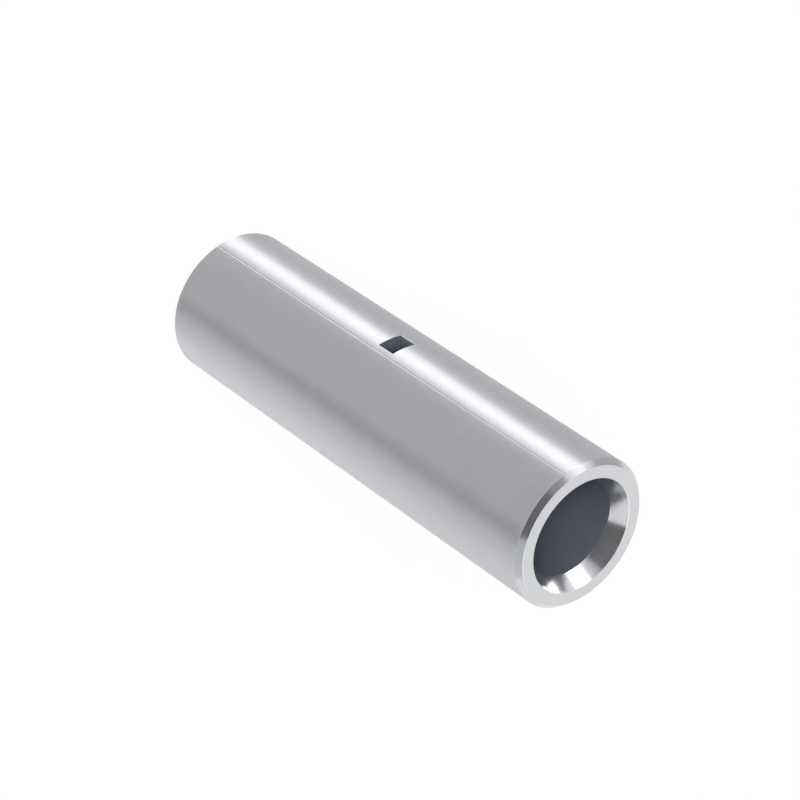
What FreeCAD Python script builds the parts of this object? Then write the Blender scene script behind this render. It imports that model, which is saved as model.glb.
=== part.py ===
"""Non-insulated butt splice connector: a short, thick-walled sleeve that joins two wires.

The sleeve is copper sheet, rolled to a tube, brazed along one seam and tin-plated. A bare wire
goes in at each end through a funnel entry, the inspection window at mid-length shows that the two
wires have met, and the barrel is then crimped on both sides of the window.

Frame: millimetres, +Z up along the bore. The sleeve stands on one end, the origin is the centre
of that end, and the inspection window faces -Y.
"""

import FreeCAD, Part
import Sketcher

import os

SHEET = "sizes"

# Sizes that can each be set by themselves, in millimetres and degrees.
DRIVING_SIZES = {
    # The rolled tube.
    "barrel_length": 19.05,
    "bore_diameter": 3.57,
    "wall_thickness": 0.965,
    # The 45 degree bevel round the outside of each end.
    "edge_bevel": 0.185,
    # The funnel entry: how much it widens the bore on the radius, and how deep it goes.
    "entry_flare": 0.323,
    "entry_depth": 0.587,
    # The inspection window: along the barrel, straight across its outer corners, and where it faces.
    "window_length": 0.762,
    "window_width": 0.96,
    "window_azimuth": 270,
    # The brazed seam: how far round from the window it runs, and the fine groove that it leaves.
    "seam_from_window": 15.3,
    "seam_width": 0.05,
    "seam_depth": 0.03,
}

# Sizes that follow, as formulas over the names above them.
DERIVED_SIZES = {
    # Distances from the axis.
    "bore_radius": "bore_diameter / 2",
    "outer_radius": "bore_radius + wall_thickness",
    "mouth_radius": "bore_radius + entry_flare",
    "face_radius": "outer_radius - edge_bevel",
    # Heights at the upper end, which mirrors the lower one.
    "upper_bevel": "barrel_length - edge_bevel",
    "upper_entry": "barrel_length - entry_depth",
    # The window is centred on the length, and its cut starts inside the bore and ends in open air.
    "window_bottom": "(barrel_length - window_length) / 2",
    "window_top": "(barrel_length + window_length) / 2",
    "window_sweep": "2 * asin(window_width / (2 * outer_radius))",
    "window_inside": "bore_radius / 2",
    "outside_air": "outer_radius + wall_thickness",
    # The seam's floor runs parallel to the barrel and to the bevels, seam_depth below them.
    "seam_azimuth": "window_azimuth + seam_from_window",
    "seam_sweep": "2 * asin(seam_width / (2 * outer_radius))",
    "seam_radius": "outer_radius - seam_depth",
    "seam_face_radius": "face_radius - seam_depth * sqrt(2)",
    "seam_lower_bend": "edge_bevel + seam_depth * (sqrt(2) - 1)",
    "seam_upper_bend": "barrel_length - seam_lower_bend",
}

# Outlines in a half-plane through the axis: each corner's distance from the axis and its height.
# No height means the end that the sleeve stands on.
WALL_OUTLINE = [
    ("mouth_radius", None),
    ("face_radius", None),
    ("outer_radius", "edge_bevel"),
    ("outer_radius", "upper_bevel"),
    ("face_radius", "barrel_length"),
    ("mouth_radius", "barrel_length"),
    ("bore_radius", "upper_entry"),
    ("bore_radius", "entry_depth"),
]
WINDOW_OUTLINE = [
    ("window_inside", "window_bottom"),
    ("outside_air", "window_bottom"),
    ("outside_air", "window_top"),
    ("window_inside", "window_top"),
]
SEAM_OUTLINE = [
    ("seam_face_radius", None),
    ("outside_air", None),
    ("outside_air", "barrel_length"),
    ("seam_face_radius", "barrel_length"),
    ("seam_radius", "seam_upper_bend"),
    ("seam_radius", "seam_lower_bend"),
]


def write_sizes(doc):
    """Make the sheet of sizes, with the name in column A and the value or formula in column B."""
    sheet = doc.addObject("Spreadsheet::Sheet", SHEET)
    cells = {alias: str(value) for alias, value in DRIVING_SIZES.items()}
    cells.update({alias: f"={formula}" for alias, formula in DERIVED_SIZES.items()})
    for row, (alias, content) in enumerate(cells.items(), start=1):
        sheet.set(f"A{row}", alias)
        sheet.set(f"B{row}", content)
        sheet.setAlias(f"B{row}", alias)
    doc.recompute()
    return sheet


def sketch_outline(body, sheet, name, corners, azimuth=None):
    """Draw a closed outline in the half-plane from the axis towards +X, or towards an azimuth.

    Every corner is held by two constraints, each bound to a cell of the sheet.
    """
    sketch = body.newObject("Sketcher::SketchObject", name)
    plane = next(each for each in body.Origin.OriginFeatures if each.Role == "XZ_Plane")
    sketch.AttachmentSupport = [(plane, "")]
    sketch.MapMode = "FlatFace"
    if azimuth:
        turn = FreeCAD.Rotation(FreeCAD.Vector(0, 1, 0), sheet.get(azimuth))
        sketch.AttachmentOffset = FreeCAD.Placement(FreeCAD.Vector(), turn)
        sketch.setExpression("AttachmentOffset.Rotation.Angle", f"{sheet.Name}.{azimuth}")

    heights = {None: 0.0}
    heights.update({height: sheet.get(height) for _, height in corners if height})
    points = [FreeCAD.Vector(sheet.get(radius), heights[height], 0) for radius, height in corners]
    for start, end in zip(points, points[1:] + points[:1]):
        sketch.addGeometry(Part.LineSegment(start, end))

    for line, (radius, height) in enumerate(corners):
        following = (line + 1) % len(corners)
        sketch.addConstraint(Sketcher.Constraint("Coincident", line, 2, following, 1))
        bind_distance(sketch, sheet, "DistanceX", line, radius)
        if height:
            bind_distance(sketch, sheet, "DistanceY", line, height)
        else:
            sketch.addConstraint(Sketcher.Constraint("PointOnObject", line, 1, -1))
    return sketch


def bind_distance(sketch, sheet, direction, line, alias):
    """Hold a line's start at a distance from the sketch's origin that a cell of the sheet sets."""
    number = sketch.addConstraint(Sketcher.Constraint(direction, -1, 1, line, 1, sheet.get(alias)))
    sketch.setExpression(f"Constraints[{number}]", f"{sheet.Name}.{alias}")


def revolve_wall(body, sheet):
    """Turn the wall's section once round the axis: tube, bevels and funnel entries in one."""
    wall = body.newObject("PartDesign::Revolution", "wall")
    section = sketch_outline(body, sheet, "wall_section", WALL_OUTLINE)
    wall.Profile = section
    wall.ReferenceAxis = (section, ["V_Axis"])
    wall.Angle = 360
    return wall


def cut_arc(body, sheet, name, corners, azimuth, sweep):
    """Cut an outline out of the wall over a short arc, half of it on each side of its azimuth.

    The sides of such a cut are radial, as they are on sheet that was cut first and then rolled.
    """
    section = sketch_outline(body, sheet, f"{name}_section", corners, azimuth)
    cut = body.newObject("PartDesign::Groove", name)
    cut.Profile = section
    cut.ReferenceAxis = (section, ["V_Axis"])
    cut.Midplane = True
    cut.setExpression("Angle", f"{sheet.Name}.{sweep}")
    return cut


def build_splice_barrel(doc, sheet):
    """Model the sleeve: the turned section, then the window, then the seam line."""
    body = doc.addObject("PartDesign::Body", "splice_barrel")
    body.Label = "splice_barrel"
    body.Placement = FreeCAD.Placement()
    revolve_wall(body, sheet)
    cut_arc(body, sheet, "inspection_window", WINDOW_OUTLINE, "window_azimuth", "window_sweep")
    cut_arc(body, sheet, "brazed_seam", SEAM_OUTLINE, "seam_azimuth", "seam_sweep")
    doc.recompute()
    return body


def check_document(doc, bodies):
    """Stop if a feature failed, a sketch can still move, a cut removed nothing or a shape is bad."""
    for item in doc.Objects:
        if {"Invalid", "Error"} & set(item.State):
            raise RuntimeError(f"{item.Label} did not build: {item.State}")
        if item.TypeId == "Sketcher::SketchObject" and not item.FullyConstrained:
            raise RuntimeError(f"{item.Label} is not fully constrained")
        if item.TypeId == "PartDesign::Groove" and item.Shape.Volume >= item.BaseFeature.Shape.Volume:
            raise RuntimeError(f"{item.Label} cuts nothing")
    for body in bodies:
        if body.Shape.isNull() or not body.Shape.isValid() or len(body.Shape.Solids) != 1:
            raise RuntimeError(f"{body.Label} is not one valid solid")


def main():
    doc = FreeCAD.newDocument("butt_splice_connector")
    sheet = write_sizes(doc)
    bodies = [build_splice_barrel(doc, sheet)]
    check_document(doc, bodies)
    os.makedirs("parts", exist_ok=True)
    for body in bodies:
        body.Shape.exportStep(f"parts/{body.Label}.step")
        print(f"{body.Label}: {body.Shape.Volume:.2f} cubic millimetres")


main()
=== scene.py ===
# %% [markdown]
# # A butt splice connector
# The part is a short metal sleeve that joins two wires end to end. It is cut from copper sheet,
# rolled to a tube, brazed along one seam and tin-plated. Nothing in it moves and nothing is inside.
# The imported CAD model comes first. It is a fixed frame: the sleeve stands on one end at the origin,
# +Z runs up the bore, and the small inspection window faces -Y.

# %% Load the frame
import math

import bmesh
import bpy
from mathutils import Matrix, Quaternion, Vector


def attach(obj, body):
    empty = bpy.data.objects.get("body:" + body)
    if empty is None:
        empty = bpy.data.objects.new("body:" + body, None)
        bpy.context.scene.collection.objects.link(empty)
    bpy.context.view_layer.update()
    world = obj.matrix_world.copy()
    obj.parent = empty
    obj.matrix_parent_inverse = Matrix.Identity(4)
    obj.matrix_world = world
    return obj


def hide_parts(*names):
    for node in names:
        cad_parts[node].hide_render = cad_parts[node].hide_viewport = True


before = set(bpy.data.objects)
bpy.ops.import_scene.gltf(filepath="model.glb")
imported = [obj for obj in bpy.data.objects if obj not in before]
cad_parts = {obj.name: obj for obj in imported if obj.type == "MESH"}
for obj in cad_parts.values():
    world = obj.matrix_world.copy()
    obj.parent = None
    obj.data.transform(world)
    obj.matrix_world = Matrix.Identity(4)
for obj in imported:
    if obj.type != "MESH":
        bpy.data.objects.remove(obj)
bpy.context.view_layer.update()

MM = 0.001
print("CAD nodes:", sorted(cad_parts))

# %% [markdown]
# ## The camera
# The camera comes early, because every later choice is judged through it. The sleeve stands upright
# in the model, but the photograph shows it lying across the picture. Nothing is turned for that:
# the camera looks down at 40 degrees and rolls about its own line of sight until the barrel runs
# from the upper left to the lower right. A long lens from close by gives the mild perspective.

# %% Camera
def aim(azimuth, elevation):
    """The direction from the object to a viewer: azimuth 0 is at -Y and 90 at +X, in degrees."""
    turn, lift = math.radians(azimuth), math.radians(elevation)
    return Vector((math.sin(turn) * math.cos(lift), -math.cos(turn) * math.cos(lift), math.sin(lift)))


CAMERA_AZIMUTH = 44.35
CAMERA_ELEVATION = 40.18
CAMERA_ROLL = 123.87
camera_data = bpy.data.cameras.new("camera")
camera_data.lens = 125.7
camera_data.clip_start = 1 * MM
camera_data.clip_end = 10
camera = bpy.data.objects.new("camera", camera_data)
bpy.context.scene.collection.objects.link(camera)
bpy.context.scene.camera = camera
camera.location = Vector((51.574, -53.299, 72.026)) * MM
line_of_sight = -aim(CAMERA_AZIMUTH, CAMERA_ELEVATION)
camera.rotation_mode = "QUATERNION"
roll = Quaternion((0, 0, 1), math.radians(CAMERA_ROLL))
camera.rotation_quaternion = line_of_sight.to_track_quat("-Z", "Y") @ roll
print("camera at", [round(value / MM, 2) for value in camera.location], "mm")

# %% [markdown]
# ## Picking by place
# Each modelling step below works as by hand: something is selected, and one tool acts on it. A
# script has no mouse, so it selects by place. Round a tube, the natural measures are the distance
# from the axis, the azimuth round it and the height, so `Place` turns a point into those three.

# %% Picking by place
class Place:
    """A point as distance from the bore's axis, azimuth from +X in degrees, and height."""

    def __init__(self, point):
        self.radius = math.hypot(point.x, point.y) / MM
        self.azimuth = math.degrees(math.atan2(point.y, point.x)) % 360
        self.height = point.z / MM


def middle(part):
    """The middle of a vertex, an edge or a face."""
    if isinstance(part, bmesh.types.BMVert):
        return part.co
    if isinstance(part, bmesh.types.BMEdge):
        return (part.verts[0].co + part.verts[1].co) / 2
    return part.calc_center_median()


def pick(kind, wanted):
    """In edit mode, select only the parts of one kind whose middle is wanted. Returns how many."""
    bpy.ops.mesh.select_mode(type=kind)
    bpy.ops.mesh.select_all(action="DESELECT")
    data = bpy.context.edit_object.data
    mesh = bmesh.from_edit_mesh(data)
    parts = {"VERT": mesh.verts, "EDGE": mesh.edges, "FACE": mesh.faces}[kind]
    chosen = [part for part in parts if wanted(Place(middle(part)))]
    for part in chosen:
        part.select_set(True)
    mesh.select_flush_mode()
    bmesh.update_edit_mesh(data)
    return len(chosen)


def near(value, target, slack=0.002):
    return abs(value - target) < slack


example = Place(Vector((0, -2, 9)) * MM)
print(f"a point towards -Y: {example.radius:.1f} mm out, at {example.azimuth:.0f} degrees")

# %% [markdown]
# ## The wall's section
# Sheet is cut, its edges are coined, and then it is rolled. The model goes the same way: first the
# section of the wall, then the roll. The sizes are those of the CAD model, so that the dressed part
# takes its place without a gap. The bore takes a stripped wire of 4 to 6 square millimetres.

# %% Sizes in millimetres, as in the CAD
BARREL_LENGTH = 19.05
BORE_RADIUS = 1.785
WALL_THICKNESS = 0.965
OUTER_RADIUS = BORE_RADIUS + WALL_THICKNESS
EDGE_BEVEL = 0.185
ENTRY_FLARE = 0.323
ENTRY_DEPTH = 0.587
WINDOW_LENGTH = 0.762
WINDOW_WIDTH = 0.96
WINDOW_BOTTOM = (BARREL_LENGTH - WINDOW_LENGTH) / 2
WINDOW_TOP = (BARREL_LENGTH + WINDOW_LENGTH) / 2
print(f"outer diameter {2 * OUTER_RADIUS:.2f}, bore {2 * BORE_RADIUS:.2f} mm")

# %% [markdown]
# The blank is a plane that stands on the XZ plane beside the axis, as thick as the sheet and as tall
# as the sleeve. Its place and its scale are applied at once, so that every later step can work in
# plain measures.

# %% Cut the blank
bpy.ops.object.select_all(action="DESELECT")
bpy.ops.mesh.primitive_plane_add(
    size=1,
    location=((BORE_RADIUS + WALL_THICKNESS / 2) * MM, 0, BARREL_LENGTH / 2 * MM),
    rotation=(math.radians(90), 0, 0),
)
barrel = bpy.context.active_object
barrel.name = "splice_sleeve"
barrel.data.name = "splice_sleeve"
barrel.scale = (WALL_THICKNESS * MM, BARREL_LENGTH * MM, 1)
bpy.ops.object.transform_apply(location=True, rotation=True, scale=True)
for corner in barrel.data.vertices:
    print("blank corner at", [round(value / MM, 3) for value in corner.co], "mm")

# %% [markdown]
# Coining turns the blank's outer corners into small bevels and its inner ones into long funnels,
# which lead the strands of a wire into the bore. A vertex bevel cuts such a corner, but always at
# 45 degrees. The funnel is deeper than it is wide, so the inner end of each slope is then moved
# further into the bore.

# %% Coin the ends
bpy.ops.object.mode_set(mode="EDIT")
pick("VERT", lambda place: near(place.radius, OUTER_RADIUS))
bpy.ops.mesh.bevel(
    offset=EDGE_BEVEL * MM, offset_type="OFFSET", segments=1, affect="VERTICES", clamp_overlap=False
)
pick("VERT", lambda place: near(place.radius, BORE_RADIUS))
bpy.ops.mesh.bevel(
    offset=ENTRY_FLARE * MM, offset_type="OFFSET", segments=1, affect="VERTICES", clamp_overlap=False
)
for start, shift in (
    (ENTRY_FLARE, ENTRY_DEPTH - ENTRY_FLARE),
    (BARREL_LENGTH - ENTRY_FLARE, ENTRY_FLARE - ENTRY_DEPTH),
):
    pick("VERT", lambda place: near(place.radius, BORE_RADIUS) and near(place.height, start))
    bpy.ops.transform.translate(value=(0, 0, shift * MM))
print("corners of the coined section:", len(bmesh.from_edit_mesh(barrel.data).verts))

# %% [markdown]
# No metal corner is perfectly sharp, and the thin bright line along a worn one is a good part of
# what the eye takes for metal. Wires and fingers wear the mouth most, so the corners of the funnel
# and the bore get a rounding of 8 micrometres, and the crisp outer rims get half of that.

# %% Round the section's corners
MOUTH_ROUNDING = 0.008
RIM_ROUNDING = 0.004


def in_mouth(place):
    return place.radius < BORE_RADIUS + ENTRY_FLARE + 0.002


def on_rim(place):
    return not in_mouth(place)


for wanted, rounding in ((in_mouth, MOUTH_ROUNDING), (on_rim, RIM_ROUNDING)):
    pick("VERT", wanted)
    bpy.ops.mesh.bevel(
        offset=rounding * MM, offset_type="OFFSET", segments=3, affect="VERTICES", clamp_overlap=False
    )
print("corners of the rounded section:", len(bmesh.from_edit_mesh(barrel.data).verts))

# %% [markdown]
# Only the section's outline is rolled, because its face would stay behind as a wall across the
# sheet. So the face goes and its edges stay. Two cuts at the window's heights put points into the
# outline, and the roll will draw them out to the edges that the window needs.

# %% Keep the outline
bpy.ops.mesh.select_all(action="SELECT")
bpy.ops.mesh.delete(type="ONLY_FACE")
bpy.ops.mesh.select_mode(type="EDGE")
for height in (WINDOW_BOTTOM, WINDOW_TOP):
    bpy.ops.mesh.select_all(action="SELECT")
    bpy.ops.mesh.bisect(plane_co=(0, 0, height * MM), plane_no=(0, 0, 1), threshold=1e-7)
bpy.ops.object.mode_set(mode="OBJECT")
print("outline:", len(barrel.data.vertices), "corners,", len(barrel.data.edges), "edges")

# %% [markdown]
# ## The roll
# The sheet is bent round until its edges meet, and the seam is brazed. Spin does this to the
# outline. It runs in six stretches, so that edges fall exactly on the sides of the window and on
# the seam, whose two flanks take one step each. The other steps are about one degree, too small to
# show on the contour. Spin counts its angle the other way from an azimuth, so it gets the opposite
# sign, and each stretch prints where its last outline really stands. The first and the last
# outline then lie on each other and are merged.

# %% Roll the section to a tube
WINDOW_SWEEP = 2 * math.degrees(math.asin(WINDOW_WIDTH / (2 * OUTER_RADIUS)))
WINDOW_AZIMUTH = 270
SEAM_AZIMUTH = 285.3
SEAM_WIDTH = 0.06
SEAM_SWEEP = 2 * math.degrees(math.asin(SEAM_WIDTH / (2 * OUTER_RADIUS)))
turns = (
    ("wall before the window", WINDOW_AZIMUTH - WINDOW_SWEEP / 2, 260),
    ("window", WINDOW_AZIMUTH + WINDOW_SWEEP / 2, 20),
    ("wall up to the seam", SEAM_AZIMUTH - SEAM_SWEEP / 2, 5),
    ("near flank of the seam", SEAM_AZIMUTH, 1),
    ("far flank of the seam", SEAM_AZIMUTH + SEAM_SWEEP / 2, 1),
    ("rest of the wall", 360, 74),
)
bpy.ops.object.mode_set(mode="EDIT")
bpy.ops.mesh.select_all(action="SELECT")
azimuth = 0
for name, end, steps in turns:
    bpy.ops.mesh.spin(
        steps=steps, angle=math.radians(azimuth - end), center=(0, 0, 0), axis=(0, 0, 1)
    )
    azimuth = end
    found = Place(next(v.co for v in bmesh.from_edit_mesh(barrel.data).verts if v.select))
    print(f"{name}: to {azimuth:.3f}, found {found.azimuth:.3f}")
bpy.ops.mesh.select_all(action="SELECT")
bpy.ops.mesh.remove_doubles(threshold=1e-7)
bpy.ops.mesh.normals_make_consistent(inside=False)

# %% [markdown]
# ## The inspection window
# A fitter looks through the window to see that both wires reach the middle. It is punched through
# the sheet before the roll, so its sides point at the axis once the sheet is round. A Boolean cut
# would give parallel sides and leave long thin triangles. Here the skin and the bore already have
# their faces in the right place: these are deleted, and a bridge between the two open edges makes
# the four walls of the window.

# %% Cut the window
count = pick(
    "FACE",
    lambda place: abs(place.azimuth - WINDOW_AZIMUTH) < WINDOW_SWEEP / 2
    and WINDOW_BOTTOM < place.height < WINDOW_TOP,
)
bpy.ops.mesh.delete(type="FACE")
bpy.ops.mesh.select_mode(type="EDGE")
bpy.ops.mesh.select_all(action="DESELECT")
bpy.ops.mesh.select_non_manifold()
bpy.ops.mesh.bridge_edge_loops()
bpy.ops.mesh.select_all(action="SELECT")
bpy.ops.mesh.normals_make_consistent(inside=False)
print("faces taken out of the skin and the bore:", count)

# %% [markdown]
# Punching leaves a burr, and tumbling takes it off. So the edges of the hole are broken, on the skin
# and in the bore, and so are the four corners that run through the wall. All are picked by place
# and bevelled at once, which gives clean corners where three of them meet.

# %% Break the window's edges
WINDOW_ROUNDING = 0.018


def on_window_edge(place):
    across = abs(place.azimuth - WINDOW_AZIMUTH)
    at_side = near(across, WINDOW_SWEEP / 2)
    at_end = near(place.height, WINDOW_BOTTOM) or near(place.height, WINDOW_TOP)
    in_window = across < WINDOW_SWEEP / 2 + 0.01 and WINDOW_BOTTOM - 0.01 < place.height < WINDOW_TOP + 0.01
    on_skin = near(place.radius, OUTER_RADIUS) or near(place.radius, BORE_RADIUS)
    return in_window and ((on_skin and (at_side or at_end)) or (at_side and at_end))


count = pick("EDGE", on_window_edge)
bpy.ops.mesh.bevel(offset=WINDOW_ROUNDING * MM, segments=3, affect="EDGES", clamp_overlap=True)
print("window edges:", count)

# %% [markdown]
# ## The seam
# Braze and tin fill the seam nearly flush, and only a shallow groove is left, 0.06 mm wide. Its
# middle line is pushed in by less than a hundredth of a millimetre. That is enough: each flank
# leans 16 degrees, so one of them mirrors a lamp and the other a dark card, and the seam shows as a
# bright and a dark hairline side by side. Only the skin's own vertices move, so the groove fades
# out over the bevels.

# %% Press the seam in
SEAM_DEPTH = 0.0085
count = pick(
    "VERT",
    lambda place: near(place.azimuth, SEAM_AZIMUTH, 0.01) and near(place.radius, OUTER_RADIUS),
)
bpy.ops.transform.shrink_fatten(value=-SEAM_DEPTH * MM, use_even_offset=True)
print("seam vertices pressed in:", count)
bpy.ops.object.mode_set(mode="OBJECT")

# %% [markdown]
# The steps of the roll are one degree and have to look round. The steps of every bevel and rounding
# are seven degrees or more and have to look crisp. An angle between the two keeps them apart.
# If the roundings were smoothed as well, their leaning normals would reach out into the flat faces
# beside them, and bare metal shows that at once as a bright spot where none should be.

# %% Shade the wall
CRISP_FROM = 4
bpy.ops.object.shade_smooth_by_angle(angle=math.radians(CRISP_FROM))
print("sleeve:", len(barrel.data.polygons), "faces")

# %% [markdown]
# ## What the finishes share
# Tin over copper is never one flat grey. Four small effects make it read as metal, and more than
# one finish needs each of them, so each is a node group: the fine lines that tools and rolls leave
# round the axis, hair-thin handling marks, edges that tumbling has rubbed bright, and the faint
# clouds of a dipped coating. A group only puts out masks. Each finish decides what they do to it.

# %% Node helpers
def add_node(tree, kind, **settings):
    """Add a node, give it the named settings and return it."""
    node = tree.nodes.new(kind)
    for name, value in settings.items():
        setattr(node, name, value)
    return node


def calculate(tree, operation, *values):
    """A Math node. Each value is a number or another node's output. Returns its output."""
    node = add_node(tree, "ShaderNodeMath", operation=operation)
    for socket, value in zip(node.inputs, values):
        if isinstance(value, (int, float)):
            socket.default_value = value
        else:
            tree.links.new(value, socket)
    return node.outputs["Value"]


def stretch(tree, value, low, high, new_low=0.0, new_high=1.0):
    """Map the range low..high to new_low..new_high, clamped at both ends."""
    node = add_node(tree, "ShaderNodeMapRange")
    tree.links.new(value, node.inputs["Value"])
    for name, number in zip(("From Min", "From Max", "To Min", "To Max"), (low, high, new_low, new_high)):
        node.inputs[name].default_value = number
    return node.outputs["Result"]


def new_group(name, outputs, **inputs):
    """A node group with inputs that carry a starting value, and plain number outputs."""
    group = bpy.data.node_groups.new(name, "ShaderNodeTree")
    for label, value in inputs.items():
        socket = group.interface.new_socket(label, in_out="INPUT", socket_type="NodeSocketFloat")
        socket.default_value = value
    for label in outputs:
        group.interface.new_socket(label, in_out="OUTPUT", socket_type="NodeSocketFloat")
    entry = group.nodes.new("NodeGroupInput")
    result = group.nodes.new("NodeGroupOutput")
    return group, entry.outputs, result.inputs


# %% [markdown]
# Tool lines run round the axis, on the skin as on the end faces. What changes across such a line
# is the distance from the axis or the height, so the noise is fed with those two, packed tightly.
# The place round the axis enters only loosely, so that a line drifts and fades on its way round.

# %% Tool lines
tool_lines, entry, result = new_group("tool_lines", ["Line"], Lines_per_mm=8.0)
here = add_node(tool_lines, "ShaderNodeTexCoord")
apart = add_node(tool_lines, "ShaderNodeSeparateXYZ")
tool_lines.links.new(here.outputs["Object"], apart.inputs["Vector"])
squares = [calculate(tool_lines, "MULTIPLY", apart.outputs[axis], apart.outputs[axis]) for axis in "XY"]
from_axis = calculate(tool_lines, "SQRT", calculate(tool_lines, "ADD", *squares))
per_metre = calculate(tool_lines, "MULTIPLY", entry["Lines_per_mm"], 1 / MM)
drift = 0.4 / MM
packed = add_node(tool_lines, "ShaderNodeCombineXYZ")
tool_lines.links.new(calculate(tool_lines, "MULTIPLY", from_axis, per_metre), packed.inputs["X"])
tool_lines.links.new(calculate(tool_lines, "MULTIPLY", apart.outputs["Z"], per_metre), packed.inputs["Y"])
tool_lines.links.new(calculate(tool_lines, "MULTIPLY", apart.outputs["X"], drift), packed.inputs["Z"])
noise = add_node(tool_lines, "ShaderNodeTexNoise", noise_dimensions="4D")
noise.inputs["Scale"].default_value = 1
noise.inputs["Detail"].default_value = 2
tool_lines.links.new(packed.outputs["Vector"], noise.inputs["Vector"])
tool_lines.links.new(calculate(tool_lines, "MULTIPLY", apart.outputs["Y"], drift), noise.inputs["W"])
tool_lines.links.new(stretch(tool_lines, noise.outputs["Fac"], 0.25, 0.75), result["Line"])
print(tool_lines.name, "has", len(tool_lines.nodes), "nodes")

# %% [markdown]
# Sleeves are sold by the bag and rub against each other. The marks are thin, short and few. Noise
# has a middle value along winding lines: only a narrow band round that value is kept, and a second,
# coarser noise lets just some stretches of it through.

# %% Handling marks
handling_marks, entry, result = new_group("handling_marks", ["Mark"], Amount=0.5)
here = add_node(handling_marks, "ShaderNodeTexCoord")
lean = add_node(handling_marks, "ShaderNodeMapping")
lean.inputs["Rotation"].default_value = (math.radians(35), math.radians(20), math.radians(50))
lean.inputs["Scale"].default_value = (0.5 / MM, 2.2 / MM, 0.9 / MM)
handling_marks.links.new(here.outputs["Object"], lean.inputs["Vector"])
winding = add_node(handling_marks, "ShaderNodeTexNoise")
winding.inputs["Scale"].default_value = 1
winding.inputs["Detail"].default_value = 1
handling_marks.links.new(lean.outputs["Vector"], winding.inputs["Vector"])
from_middle = calculate(
    handling_marks, "ABSOLUTE", calculate(handling_marks, "SUBTRACT", winding.outputs["Fac"], 0.5)
)
hairline = stretch(handling_marks, from_middle, 0.004, 0.014, 1.0, 0.0)
places = add_node(handling_marks, "ShaderNodeTexNoise")
places.inputs["Scale"].default_value = 1.4 / MM
handling_marks.links.new(here.outputs["Object"], places.inputs["Vector"])
allowed = stretch(handling_marks, places.outputs["Fac"], 0.56, 0.62)
some = calculate(handling_marks, "MULTIPLY", hairline, allowed)
handling_marks.links.new(calculate(handling_marks, "MULTIPLY", some, entry["Amount"]), result["Mark"])
print(handling_marks.name, "has", len(handling_marks.nodes), "nodes")

# %% [markdown]
# The sleeves are tumbled before they are plated, which rubs every edge. The Bevel node looks a
# short way round each point. Where its averaged normal leans away from the true one, an edge is
# near, whichever edge it is: the lips of the funnel, the two rims of the bevel or the window.

# %% Rubbed edges
rubbed_edges, entry, result = new_group("rubbed_edges", ["Edge"], Reach_in_mm=0.04)
around = add_node(rubbed_edges, "ShaderNodeBevel", samples=4)
reach = calculate(rubbed_edges, "MULTIPLY", entry["Reach_in_mm"], MM)
rubbed_edges.links.new(reach, around.inputs["Radius"])
surface = add_node(rubbed_edges, "ShaderNodeNewGeometry")
compare = add_node(rubbed_edges, "ShaderNodeVectorMath", operation="DOT_PRODUCT")
rubbed_edges.links.new(around.outputs["Normal"], compare.inputs[0])
rubbed_edges.links.new(surface.outputs["Normal"], compare.inputs[1])
rubbed_edges.links.new(stretch(rubbed_edges, compare.outputs["Value"], 0.998, 0.93), result["Edge"])
print(rubbed_edges.name, "has", len(rubbed_edges.nodes), "nodes")

# %% [markdown]
# A dipped coating is a little thicker in some places than in others. Soft clouds, a millimetre or
# two across, carry that, and a finer grain over them keeps a close view from looking airbrushed.

# %% Coating clouds
coating_clouds, entry, result = new_group("coating_clouds", ["Cloud"], Size_in_mm=1.6)
here = add_node(coating_clouds, "ShaderNodeTexCoord")
soft = add_node(coating_clouds, "ShaderNodeTexNoise")
soft.inputs["Detail"].default_value = 5
soft.inputs["Roughness"].default_value = 0.6
coating_clouds.links.new(here.outputs["Object"], soft.inputs["Vector"])
coating_clouds.links.new(
    calculate(coating_clouds, "DIVIDE", 1 / MM, entry["Size_in_mm"]), soft.inputs["Scale"]
)
coating_clouds.links.new(stretch(coating_clouds, soft.outputs["Fac"], 0.3, 0.7), result["Cloud"])
print(coating_clouds.name, "has", len(coating_clouds.nodes), "nodes")

# %% [markdown]
# ## Three finishes on one piece
# The same tin looks different where it was worked differently, and the bore and the window's walls
# get a dark painted shade, so the one piece gets three finishes. Two more helpers come first: one
# places an effect in a material, with the values that suit it there, and the other mixes two colours by a
# mask.

# %% Place an effect and mix colours
def effect(tree, group, output, **values):
    """Place a group with its own values and return one of its masks."""
    node = add_node(tree, "ShaderNodeGroup", node_tree=group)
    for name, value in values.items():
        node.inputs[name].default_value = value
    return node.outputs[output]


def blend(tree, mask, first, second):
    """Mix two colours by a mask. Each is a plain colour or another node's output."""
    node = add_node(tree, "ShaderNodeMix", data_type="RGBA")
    tree.links.new(mask, node.inputs["Factor"])
    # The node has an A and a B for numbers, for vectors and for colours, in this order.
    sockets = [socket for socket in node.inputs if socket.type == "RGBA"]
    for socket, colour in zip(sockets, (first, second)):
        if isinstance(colour, tuple):
            socket.default_value = (*colour, 1)
        else:
            tree.links.new(colour, socket)
    return next(socket for socket in node.outputs if socket.type == "RGBA")


# %% [markdown]
# All three finishes are put together the same way. The clouds shift the colour and the roughness a
# little, the rubbed edges are brighter and smoother, the lines and marks change the roughness, and
# through a Bump node they also lift or sink the surface by well under a micrometre.

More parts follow.
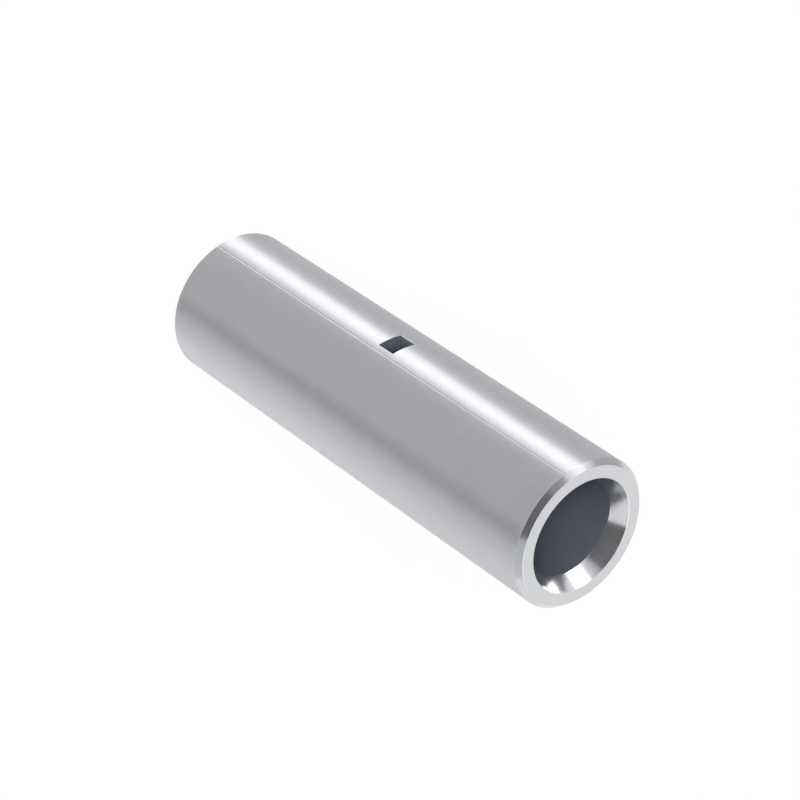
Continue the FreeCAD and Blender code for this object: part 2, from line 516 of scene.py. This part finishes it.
# %% Put a finish together
def tin_finish(name, colours, roughness, metal, lines_per_mm, line_height, marks):
    """A finish: colours are (plain, clouded, rubbed) and roughness is (plain, clouded, rubbed)."""
    material = bpy.data.materials.new(name)
    material.use_nodes = True
    tree = material.node_tree
    shader = tree.nodes["Principled BSDF"]
    shader.inputs["Metallic"].default_value = metal
    line = effect(tree, tool_lines, "Line", Lines_per_mm=lines_per_mm)
    mark = effect(tree, handling_marks, "Mark", Amount=marks)
    edge = effect(tree, rubbed_edges, "Edge")
    cloud = effect(tree, coating_clouds, "Cloud")

    coated = blend(tree, cloud, colours[0], colours[1])
    tree.links.new(blend(tree, edge, coated, colours[2]), shader.inputs["Base Color"])

    satin = stretch(tree, cloud, 0, 1, roughness[0], roughness[1])
    grooved = calculate(tree, "ADD", satin, stretch(tree, line, 0, 1, -0.02, 0.02))
    marked = calculate(tree, "ADD", grooved, calculate(tree, "MULTIPLY", mark, 0.08))
    smoothing = calculate(tree, "MULTIPLY", edge, roughness[0] - roughness[2])
    tree.links.new(calculate(tree, "SUBTRACT", marked, smoothing), shader.inputs["Roughness"])

    bump = add_node(tree, "ShaderNodeBump")
    bump.inputs["Distance"].default_value = MM
    raised = calculate(tree, "MULTIPLY", line, line_height)
    sunk = calculate(tree, "MULTIPLY", mark, 2 * line_height)
    tree.links.new(calculate(tree, "SUBTRACT", raised, sunk), bump.inputs["Height"])
    tree.links.new(bump.outputs["Normal"], shader.inputs["Normal"])
    barrel.data.materials.append(material)
    print(name, "has", len(tree.nodes), "nodes")
    return material


# %% [markdown]
# The skin of the barrel is sheet that ran between rolls and was then dipped. Its lines run round
# the barrel, and they spread every reflection along it: that is why the photograph shows long,
# calm stripes from end to end. Anisotropy does the same with one number. A Tangent node about the
# Z axis tells the shader which way is round, and a quarter turn makes the spread cross that way.

# %% Rolled tin
rolled_tin = tin_finish(
    "rolled_tin",
    colours=((0.561, 0.568, 0.586), (0.581, 0.587, 0.604), (0.644, 0.648, 0.662)),
    roughness=(0.485, 0.515, 0.4),
    metal=1.0,
    lines_per_mm=7.0,
    line_height=0.0003,
    marks=0.6,
)
skin_shader = rolled_tin.node_tree.nodes["Principled BSDF"]
skin_shader.inputs["Anisotropic"].default_value = 1.0
skin_shader.inputs["Anisotropic Rotation"].default_value = 0.25
round_the_axis = add_node(rolled_tin.node_tree, "ShaderNodeTangent", direction_type="RADIAL", axis="Z")
rolled_tin.node_tree.links.new(round_the_axis.outputs["Tangent"], skin_shader.inputs["Tangent"])

# %% [markdown]
# The bevels, the end faces and the funnels were struck and turned with a smooth tool, so they are
# brighter and tighter in their reflections than the skin, with closer lines.

# %% Struck tin
struck_tin = tin_finish(
    "struck_tin",
    colours=((0.625, 0.631, 0.648), (0.645, 0.65, 0.666), (0.7, 0.705, 0.72)),
    roughness=(0.17, 0.2, 0.155),
    metal=1.0,
    lines_per_mm=11.0,
    line_height=0.00012,
    marks=0.4,
)

# %% [markdown]
# Inside the bore and on the window's walls the tin gets a dark slate colour that is painted shade: it
# stands in for the dimness of the deep bore and the window. It is matt, so here it is hardly a mirror at
# all.

# %% Shade-painted tin in the bore
# The dark slate colours below are painted shade for the bore and the window's walls.
shade_painted_tin = tin_finish(
    "shade_painted_tin",
    colours=((0.073, 0.08, 0.099), (0.083, 0.09, 0.109), (0.115, 0.122, 0.142)),
    roughness=(0.6, 0.66, 0.5),
    metal=0.0,
    lines_per_mm=5.0,
    line_height=0.0006,
    marks=0.3,
)

# %% [markdown]
# A worked finish begins and ends where one tool did, so each face gets its own by place. The skin is
# told by its distance from the axis, with room for the pressed seam, and the struck parts by their
# distance from the nearer end of the sleeve. What is left, the bore and the walls of the window, gets the
# dark painted shade.

# %% Give every face its finish
ROLLED, STRUCK, SHADE_PAINTED = 0, 1, 2
SKIN_INSIDE = OUTER_RADIUS - 0.012
FUNNEL_END = ENTRY_DEPTH + 0.01
for face in barrel.data.polygons:
    place = Place(face.center)
    from_end = min(place.height, BARREL_LENGTH - place.height)
    if place.radius > SKIN_INSIDE:
        face.material_index = ROLLED
    elif from_end < FUNNEL_END and not (place.radius < BORE_RADIUS + 0.002 and from_end > ENTRY_DEPTH):
        face.material_index = STRUCK
    else:
        # The bore and the window's walls take the dark painted shade.
        face.material_index = SHADE_PAINTED
for index, material in enumerate(barrel.data.materials):
    print(material.name, "on", sum(face.material_index == index for face in barrel.data.polygons), "faces")

# %% [markdown]
# ## The floor and the world
# The photograph is cut out on white. The floor stays a real one that takes a shadow: most of it is
# white light for rays that see it directly or in a reflection, and the rest is matt paper. What
# lights the bore's dark painted shade from below is only the paper's own bounce.

# %% Floor
FLOOR_SIZE = 4
PAPER_GREY = 0.8
SEEN_AS_LIGHT = 0.9
bpy.ops.object.select_all(action="DESELECT")
bpy.ops.mesh.primitive_plane_add(size=FLOOR_SIZE, location=(0, 0, 0))
floor = bpy.context.active_object
floor.name = "floor"
paper = bpy.data.materials.new("white_paper")
paper.use_nodes = True
tree = paper.node_tree
tree.nodes.clear()
matt = add_node(tree, "ShaderNodeBsdfDiffuse")
matt.inputs["Color"].default_value = (PAPER_GREY, PAPER_GREY, PAPER_GREY, 1)
white = add_node(tree, "ShaderNodeEmission")
light_path = add_node(tree, "ShaderNodeLightPath")
seen = calculate(tree, "MAXIMUM", light_path.outputs["Is Camera Ray"], light_path.outputs["Is Glossy Ray"])
seen = calculate(tree, "MAXIMUM", seen, light_path.outputs["Is Transmission Ray"])
paper_mix = add_node(tree, "ShaderNodeMixShader")
tree.links.new(calculate(tree, "MULTIPLY", seen, SEEN_AS_LIGHT), paper_mix.inputs["Fac"])
tree.links.new(matt.outputs["BSDF"], paper_mix.inputs[1])
tree.links.new(white.outputs["Emission"], paper_mix.inputs[2])
paper_output = add_node(tree, "ShaderNodeOutputMaterial")
tree.links.new(paper_mix.outputs["Shader"], paper_output.inputs["Surface"])
floor.data.materials.append(paper)
print("floor:", FLOOR_SIZE, "m square")

# %% [markdown]
# The world is an even white room at a strength of 1. At that level a matt colour renders about as
# it is written, and tin that faces nothing else mirrors plain white.

# %% World
world = bpy.data.worlds.new("white_room")
world.use_nodes = True
bpy.context.scene.world = world
daylight = world.node_tree.nodes["Background"]
daylight.inputs["Color"].default_value = (1, 1, 1, 1)
daylight.inputs["Strength"].default_value = 1
print("world:", world.name)

# %% [markdown]
# ## Softboxes
# Bare metal shows the studio more than itself, so the stripes along the barrel are made by what
# stands round it. A softbox is given by the direction it shines from, by how wide and how high it
# looks from the sleeve, all in degrees, and by its brightness, where 1 is as bright as the white
# room. Its power follows: an area lamp of one watt on one square metre is 1 / pi bright. Only bare
# tin shows these softboxes. They add no light to anything matt, so the paper stays at its plain
# level.

# %% A softbox
MIDDLE = Vector((0, 0, BARREL_LENGTH / 2)) * MM


def add_softbox(name, azimuth, elevation, width, height, brightness, distance):
    """An area lamp that faces the sleeve's middle, with its size as seen from there in degrees."""
    lamp_data = bpy.data.lights.new(name, "AREA")
    lamp_data.shape = "RECTANGLE"
    lamp_data.size = 2 * distance * math.tan(math.radians(width / 2))
    lamp_data.size_y = 2 * distance * math.tan(math.radians(height / 2))
    lamp_data.energy = brightness * math.pi * lamp_data.size * lamp_data.size_y
    lamp = bpy.data.objects.new(name, lamp_data)
    towards_lamp = aim(azimuth, elevation)
    lamp.location = MIDDLE + towards_lamp * distance
    lamp.rotation_euler = towards_lamp.to_track_quat("Z", "Y").to_euler()
    lamp.visible_camera = False
    lamp.visible_diffuse = False
    bpy.context.scene.collection.objects.link(lamp)
    print(f"{name}: {lamp_data.energy:.2f} W")
    return lamp


# %% [markdown]
# The low key draws the one bright stripe beside the window, and the bright spot where the bevel
# bends it. The low strip lies under all that the bevel mirrors, so it lifts the grey of the barrel
# alone, and the short strip is a white patch in the funnel. The other three give the end face and
# the sides of the bevel their light grey.

# %% Softboxes
softboxes = (
    # name, azimuth, elevation, width, height, brightness, distance in metres
    ("low key beside the window", -25.2, 20.2, 21, 19, 9.3, 0.36),
    ("accent above the key", -33, 36, 21, 10, 0.53, 0.4),
    ("box on the window's far side", -94, 40, 30.6, 14, 0.9, 0.5),
    ("box behind and above", 164, 60, 39, 46, 2.0, 0.45),
    ("low strip below the camera", 46, 7, 65, 6, 5.15, 0.33),
    ("short strip under the window", 2, 14, 25, 8, 2.5, 0.33),
)
for softbox in softboxes:
    add_softbox(*softbox)

# %% [markdown]
# The fill is the other way round. It lights the dark painted shade in the bore and the window, and
# no tin mirrors it, as if a photographer had put polarising sheet before the lamp and the lens. It
# stands above the camera, so it reaches as deep into the bore as the camera looks.

# %% Fill
fill = add_softbox("polarised fill", CAMERA_AZIMUTH, 43, 22, 28, 19, 0.5)
fill.visible_glossy = False
fill.visible_diffuse = True

# %% [markdown]
# ## Cards
# Between the bright stripes the barrel shows grey and nearly black ones. These are cards that
# stand round the sleeve behind the lamps and hide part of the white room: a nearly black one on
# the camera's side, which makes the dark part of the bevel, a dark grey one over the window, and a
# lighter one on either side. Each is cut out of an open cylinder, which keeps it at one distance
# and its edges upright.

# %% A card
CARD_DISTANCE = 0.6
CARD_FACES = 180
CARD_TINT = (0.97, 0.98, 1, 1)


def add_card(name, azimuth, width, lowest, highest, brightness):
    """A card curved round the Z axis. Its width and its edges are degrees as seen from the sleeve."""
    bottom = MIDDLE.z + CARD_DISTANCE * math.tan(math.radians(lowest))
    top = MIDDLE.z + CARD_DISTANCE * math.tan(math.radians(highest))
    bpy.ops.object.select_all(action="DESELECT")
    bpy.ops.mesh.primitive_cylinder_add(
        vertices=CARD_FACES, radius=CARD_DISTANCE, depth=top - bottom, end_fill_type="NOTHING",
        location=(0, 0, (bottom + top) / 2),
    )
    card = bpy.context.active_object
    card.name = name
    bpy.ops.object.transform_apply(location=True)
    bpy.ops.object.mode_set(mode="EDIT")
    # An azimuth round the part starts at +X, and the camera's starts at -Y.
    facing = azimuth - 90
    pick("FACE", lambda place: abs((place.azimuth - facing + 180) % 360 - 180) > width / 2)
    bpy.ops.mesh.delete(type="FACE")
    bpy.ops.object.mode_set(mode="OBJECT")
    even_grey = bpy.data.materials.new(name)
    even_grey.use_nodes = True
    shader = even_grey.node_tree.nodes["Principled BSDF"]
    shader.inputs["Base Color"].default_value = (0, 0, 0, 1)
    shader.inputs["Specular IOR Level"].default_value = 0
    shader.inputs["Emission Color"].default_value = CARD_TINT
    shader.inputs["Emission Strength"].default_value = brightness
    card.data.materials.append(even_grey)
    card.visible_camera = False
    print(f"{name}: {len(card.data.polygons)} faces")


# %% [markdown]
# The widths of the cards set where one tone of the barrel ends and the next begins. Where no card
# stands, the barrel mirrors the white room, as it does on both sides of the low key.

# %% Cards
cards = (
    # name, azimuth, width, lowest, highest, brightness
    ("black card at the camera", 59, 84, 0, 63, 0.155),
    ("dark grey card over the window", 0.5, 33, 0, 63, 0.365),
    ("grey card on the left", 126.6, 51, 24, 63, 0.65),
    ("grey card on the right", -87.4, 61, 4, 59, 0.567),
)
for card in cards:
    add_card(*card)

# %% [markdown]
# ## The piece in its place
# The sleeve rides the CAD's only body and takes the place of its node.
# The Standard view shows every colour as it is written.

# %% Attach the piece in the CAD node's place
bpy.context.scene.view_settings.view_transform = "Standard"
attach(barrel, "root")
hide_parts("splice_barrel")
print(barrel.name, "takes the place of splice_barrel")

# %% [markdown]
# Dressing the part must not change its size.
